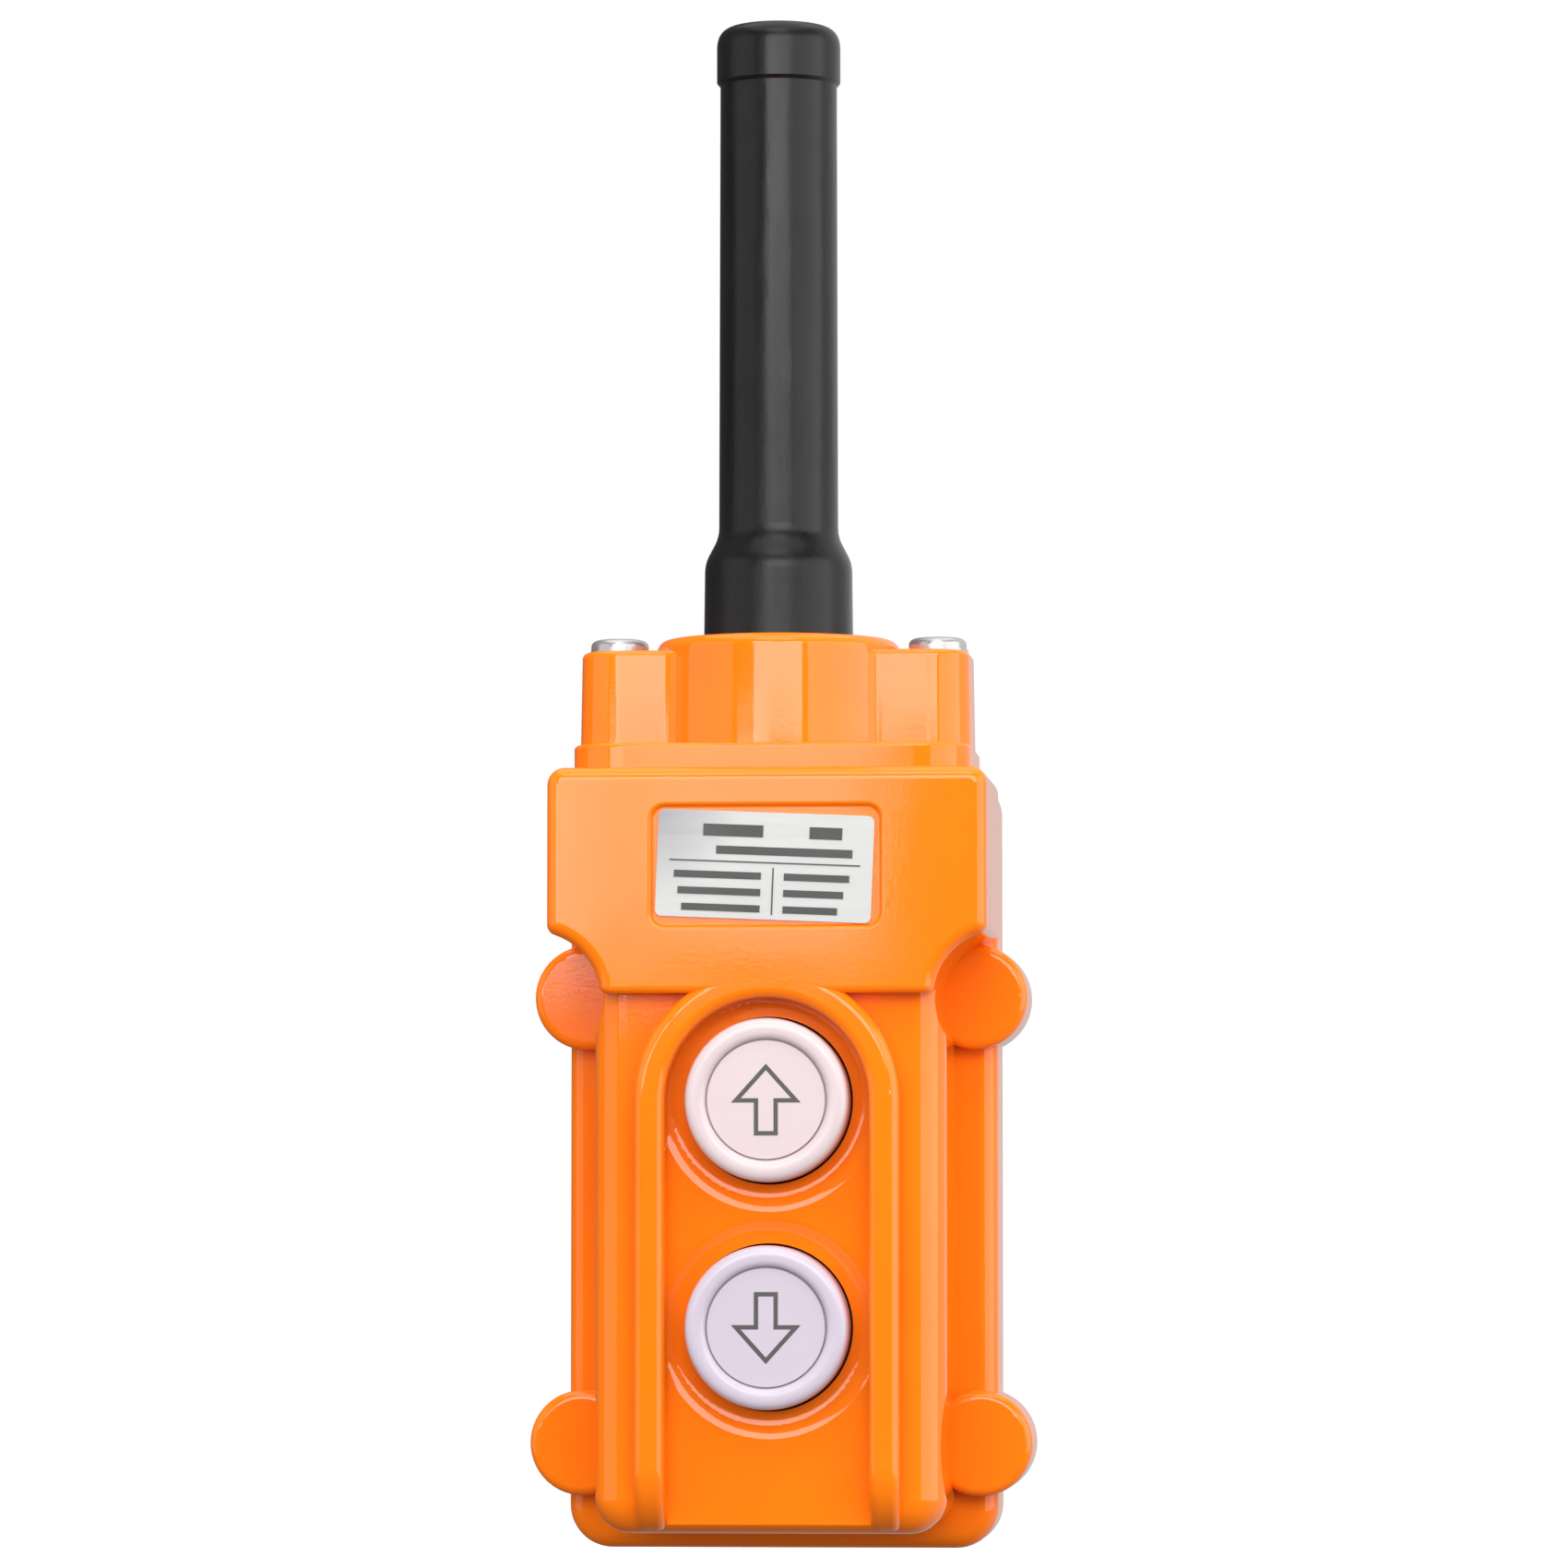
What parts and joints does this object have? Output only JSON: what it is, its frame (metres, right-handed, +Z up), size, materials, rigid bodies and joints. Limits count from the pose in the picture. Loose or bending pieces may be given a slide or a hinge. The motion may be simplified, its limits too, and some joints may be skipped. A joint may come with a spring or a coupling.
{
  "type": "pendant control station",
  "caption": "Hand-held hanging control station with up and down push buttons in an arched guard, a screwed head cap and a long rubber cable boot.",
  "frame": {"origin": "centre of the boot's mouth, where the hanging cable enters", "axes": "+Z up along the hanging cable, +Y towards the flat back, -Y the button side, +X to the right seen from the front"},
  "size_m": [0.094, 0.0612, 0.285],
  "materials": {
    "orange_plastic": "gloss",
    "black_rubber": "satin",
    "seal_rubber": "matte",
    "black_plastic": "matte",
    "plated_steel": "satin",
    "brass": "satin",
    "label_foil": "satin",
    "dark_print": "matte",
    "button_plastic": "satin",
    "white_plastic": "matte"
  },
  "bodies": {
    "housing": {"front_shell": "orange_plastic", "rear_cover": "orange_plastic", "shell_gasket": "seal_rubber", "head_cap": "orange_plastic", "cap_gasket": "seal_rubber", "cable_boot": "black_rubber", "boot_retaining_ring": "black_plastic", "cap_screws": "plated_steel", "cap_screw_washers": "plated_steel", "cap_screw_inserts": "brass", "cover_screws": "plated_steel", "cover_screw_washers": "plated_steel", "cover_screw_inserts": "brass", "rating_label": "label_foil", "label_marks": "dark_print", "seal_clamp_plate": "plated_steel", "seal_plate_screws": "plated_steel", "contact_block_body": "black_plastic", "contact_block_base": "black_plastic", "contact_block_screws": "plated_steel", "contact_block_inserts": "brass", "fixed_contacts": "brass", "terminal_clamps": "plated_steel", "terminal_screws": "plated_steel", "cable_clamp_base": "black_plastic", "cable_clamp_strap": "plated_steel", "cable_clamp_screws": "plated_steel", "up_return_spring": "plated_steel", "up_button_seal": "seal_rubber", "down_return_spring": "plated_steel", "down_button_seal": "seal_rubber"},
    "up_push": {"up_button": "button_plastic", "up_legend_disc": "button_plastic", "up_arrow": "dark_print", "up_plunger": "white_plastic", "up_contact_bridge": "brass", "up_bridge_clip": "plated_steel"},
    "down_push": {"down_button": "button_plastic", "down_legend_disc": "button_plastic", "down_arrow": "dark_print", "down_plunger": "white_plastic", "down_contact_bridge": "brass", "down_bridge_clip": "plated_steel"}
  },
  "joints": [
    {"name": "up_press", "type": "slide", "parent": "housing", "child": "up_push", "axis": [0, 1, 0], "range_m": [0, 0.004], "stiffness_N_per_m": 900, "springref_m": -0.006, "deforming": ["up_return_spring", "up_button_seal"]},
    {"name": "down_press", "type": "slide", "parent": "housing", "child": "down_push", "axis": [0, 1, 0], "range_m": [0, 0.004], "stiffness_N_per_m": 900, "springref_m": -0.006, "deforming": ["down_return_spring", "down_button_seal"]}
  ]
}
